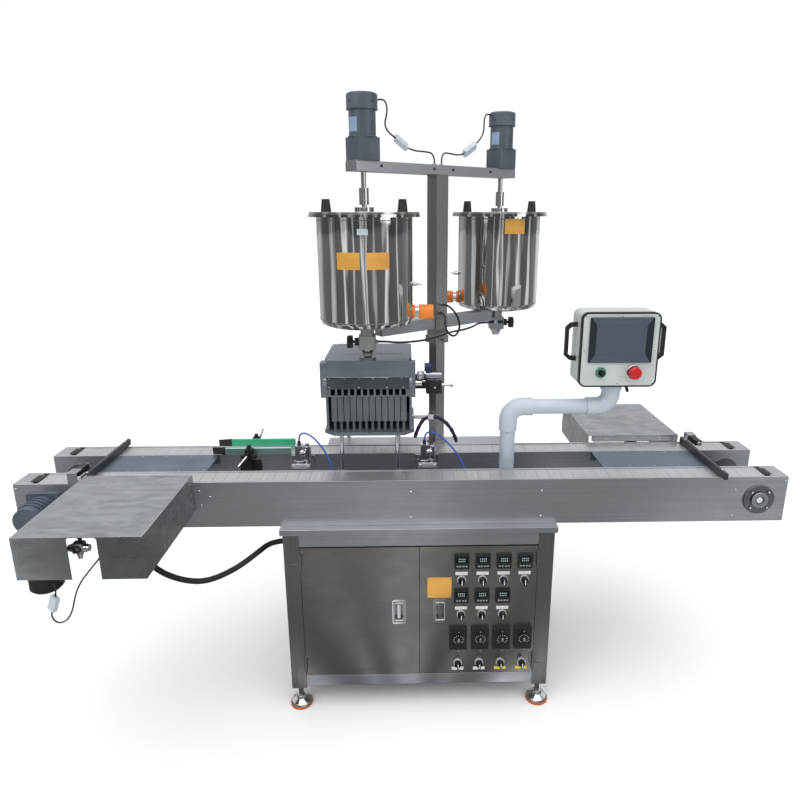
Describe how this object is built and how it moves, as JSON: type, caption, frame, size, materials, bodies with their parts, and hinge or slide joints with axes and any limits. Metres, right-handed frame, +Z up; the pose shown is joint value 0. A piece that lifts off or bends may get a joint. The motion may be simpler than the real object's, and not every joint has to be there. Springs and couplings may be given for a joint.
{
  "type": "balm filling machine",
  "caption": "Balm filling machine: stirred heated tanks on a swivelling column over a multi-nozzle filling head, slat conveyors side by side, pushers and a control cabinet.",
  "frame": {"origin": "on the floor, below the middle of the machine's length and width", "axes": "+X to the right along the conveyors, +Y to the rear, away from the operator, +Z up"},
  "size_m": [2.44, 1.101, 1.984],
  "materials": {
    "stainless": "brushed stainless sheet and bar",
    "dark_stainless": "dark brushed stainless",
    "polished": "mirror polished stainless",
    "slat": "rolled slat",
    "plated": "chrome plated",
    "motor_blue": "blue-grey paint",
    "motor_grey": "dark grey paint",
    "aluminium": "anodised",
    "black_plastic": "moulded black",
    "orange_plastic": "moulded orange",
    "red_plastic": "moulded red",
    "white_plastic": "moulded white",
    "panel_grey": "light grey enamel",
    "loom_sleeve": "braided black sleeve",
    "cable_grey": "black cable jacket",
    "hose_blue": "blue air hose",
    "head_dark": "dark anodised"
  },
  "bodies": {
    "base": {"cabinet_frame": "stainless", "cabinet_panels": "dark_stainless", "levelling_feet": "plated", "conveyor_channels": "stainless", "slat_chains": "slat", "bearing_covers": "aluminium", "drive_gearmotors": "motor_blue", "transfer_plates": "stainless", "pusher_covers": "stainless", "air_cylinders": "aluminium", "guide_rails": "aluminium", "drive_housing": "stainless", "head_stand": "plated", "head_casing": "head_dark", "pump_blocks": "aluminium", "head_air_unit": "black_plastic", "panel_post": "white_plastic", "main_loom": "loom_sleeve", "drive_lead": "cable_grey", "left_air_hose": "hose_blue", "right_air_hose": "hose_blue"},
    "left_door": {"left_door": "dark_stainless"},
    "right_door": {"right_door": "dark_stainless", "panel_instruments": "black_plastic"},
    "operator_panel": {"operator_panel": "panel_grey"},
    "emergency_stop": {"emergency_stop": "red_plastic"},
    "panel_selector": {"panel_selector": "black_plastic"},
    "turret_column": {"turret_column": "stainless"},
    "turret": {"turret_frame": "stainless", "left_tank": "polished", "right_tank": "polished", "tank_fittings": "stainless", "mixer_motors": "motor_grey", "left_motor_lead": "cable_grey", "right_motor_lead": "cable_grey", "gland_loop": "cable_grey", "valve_cable": "cable_grey"},
    "left_lid": {"left_lid": "polished"},
    "right_lid": {"right_lid": "polished"},
    "left_mixer": {"left_mixer": "stainless"},
    "right_mixer": {"right_mixer": "stainless"},
    "left_valve_knob": {"left_valve_knob": "black_plastic"},
    "right_valve_knob": {"right_valve_knob": "black_plastic"},
    "front_pusher": {"front_pusher": "aluminium"},
    "rear_pusher": {"rear_pusher": "aluminium"},
    "front_drive_shaft": {"front_drive_shaft": "stainless"},
    "front_idler_shaft": {"front_idler_shaft": "stainless"},
    "rear_drive_shaft": {"rear_drive_shaft": "stainless"},
    "rear_idler_shaft": {"rear_idler_shaft": "stainless"},
    "selector_01": {"selector_01": "black_plastic"},
    "selector_02": {"selector_02": "black_plastic"},
    "selector_03": {"selector_03": "black_plastic"},
    "selector_04": {"selector_04": "black_plastic"},
    "selector_05": {"selector_05": "black_plastic"},
    "selector_06": {"selector_06": "black_plastic"},
    "selector_07": {"selector_07": "black_plastic"},
    "selector_08": {"selector_08": "black_plastic"},
    "selector_09": {"selector_09": "black_plastic"},
    "selector_10": {"selector_10": "black_plastic"},
    "selector_11": {"selector_11": "black_plastic"}
  },
  "joints": [
    {"name": "left_door_hinge", "type": "hinge", "parent": "base", "child": "left_door", "pos_m": [-0.3435, -0.1885, 0.371], "axis": [0, 0, -1], "range_deg": [0, 110]},
    {"name": "right_door_hinge", "type": "hinge", "parent": "base", "child": "right_door", "pos_m": [0.4235, -0.1885, 0.371], "axis": [0, 0, 1], "range_deg": [0, 110]},
    {"name": "front_push", "type": "slide", "parent": "base", "child": "front_pusher", "axis": [0, 1, 0], "range_m": [0, 0.235]},
    {"name": "rear_push", "type": "slide", "parent": "base", "child": "rear_pusher", "axis": [0, -1, 0], "range_m": [0, 0.235]},
    {"name": "turret_swivel", "type": "hinge", "parent": "base", "child": "turret_column", "pos_m": [0.11, 0.1975, 0.834], "axis": [0, 0, 1], "range_deg": [0, 180]},
    {"name": "turret_lift", "type": "slide", "parent": "turret_column", "child": "turret", "axis": [0, 0, 1], "range_m": [0, 0.12]},
    {"name": "left_lid_lift", "type": "slide", "parent": "turret", "child": "left_lid", "axis": [0, 0, 1], "range_m": [0, 0.06]},
    {"name": "right_lid_lift", "type": "slide", "parent": "turret", "child": "right_lid", "axis": [0, 0, 1], "range_m": [0, 0.06]},
    {"name": "left_mixer_spin", "type": "hinge", "parent": "turret", "child": "left_mixer", "pos_m": [-0.1233, 0.0153, 1.5], "axis": [0, 0, 1], "continuous": true},
    {"name": "right_mixer_spin", "type": "hinge", "parent": "turret", "child": "right_mixer", "pos_m": [0.3433, 0.3797, 1.5], "axis": [0, 0, 1], "continuous": true},
    {"name": "left_valve_turn", "type": "hinge", "parent": "turret", "child": "left_valve_knob", "pos_m": [-0.1233, 0.0153, 1.243], "axis": [-1, 0, 0], "range_deg": [0, 90]},
    {"name": "right_valve_turn", "type": "hinge", "parent": "turret", "child": "right_valve_knob", "pos_m": [0.3433, 0.3797, 1.243], "axis": [1, 0, 0], "range_deg": [0, 90]},
    {"name": "operator_panel_swivel", "type": "hinge", "parent": "base", "child": "operator_panel", "pos_m": [0.678, 0, 1.105], "axis": [0, 0, 1], "range_deg": [-60, 60]},
    {"name": "emergency_stop_press", "type": "slide", "parent": "operator_panel", "child": "emergency_stop", "axis": [0, 1, 0], "range_m": [0, 0.005], "stiffness_N_per_m": 600},
    {"name": "panel_selector_turn", "type": "hinge", "parent": "operator_panel", "child": "panel_selector", "pos_m": [0.622, -0.06, 1.153], "axis": [0, 1, 0], "range_deg": [0, 90]},
    {"name": "selector_01_turn", "type": "hinge", "parent": "right_door", "child": "selector_01", "pos_m": [0.177, -0.19, 0.492], "axis": [0, 1, 0], "range_deg": [0, 90]},
    {"name": "selector_02_turn", "type": "hinge", "parent": "right_door", "child": "selector_02", "pos_m": [0.2455, -0.19, 0.492], "axis": [0, 1, 0], "range_deg": [0, 90]},
    {"name": "selector_03_turn", "type": "hinge", "parent": "right_door", "child": "selector_03", "pos_m": [0.314, -0.19, 0.492], "axis": [0, 1, 0], "range_deg": [0, 90]},
    {"name": "selector_04_turn", "type": "hinge", "parent": "right_door", "child": "selector_04", "pos_m": [0.3825, -0.19, 0.492], "axis": [0, 1, 0], "range_deg": [0, 90]},
    {"name": "selector_05_turn", "type": "hinge", "parent": "right_door", "child": "selector_05", "pos_m": [0.177, -0.19, 0.363], "axis": [0, 1, 0], "range_deg": [0, 90]},
    {"name": "selector_06_turn", "type": "hinge", "parent": "right_door", "child": "selector_06", "pos_m": [0.2455, -0.19, 0.363], "axis": [0, 1, 0], "range_deg": [0, 90]},
    {"name": "selector_07_turn", "type": "hinge", "parent": "right_door", "child": "selector_07", "pos_m": [0.314, -0.19, 0.363], "axis": [0, 1, 0], "range_deg": [0, 90]},
    {"name": "selector_08_turn", "type": "hinge", "parent": "right_door", "child": "selector_08", "pos_m": [0.169, -0.19, 0.173], "axis": [0, 1, 0], "range_deg": [0, 90]},
    {"name": "selector_09_turn", "type": "hinge", "parent": "right_door", "child": "selector_09", "pos_m": [0.2413, -0.19, 0.173], "axis": [0, 1, 0], "range_deg": [0, 90]},
    {"name": "selector_10_turn", "type": "hinge", "parent": "right_door", "child": "selector_10", "pos_m": [0.3136, -0.19, 0.173], "axis": [0, 1, 0], "range_deg": [0, 90]},
    {"name": "selector_11_turn", "type": "hinge", "parent": "right_door", "child": "selector_11", "pos_m": [0.3859, -0.19, 0.173], "axis": [0, 1, 0], "range_deg": [0, 90]},
    {"name": "front_drive_spin", "type": "hinge", "parent": "base", "child": "front_drive_shaft", "pos_m": [-1.131, -0.1175, 0.757], "axis": [0, 1, 0], "continuous": true},
    {"name": "front_idler_spin", "type": "hinge", "parent": "base", "child": "front_idler_shaft", "pos_m": [1.131, -0.1175, 0.757], "axis": [0, 1, 0], "continuous": true},
    {"name": "rear_drive_spin", "type": "hinge", "parent": "base", "child": "rear_drive_shaft", "pos_m": [1.131, 0.1175, 0.757], "axis": [0, 1, 0], "continuous": true},
    {"name": "rear_idler_spin", "type": "hinge", "parent": "base", "child": "rear_idler_shaft", "pos_m": [-1.131, 0.1175, 0.757], "axis": [0, 1, 0], "continuous": true}
  ],
  "couplings": [
    {"joint": "front_idler_spin", "follows": "front_drive_spin", "ratio": 1},
    {"joint": "rear_idler_spin", "follows": "rear_drive_spin", "ratio": 1}
  ]
}
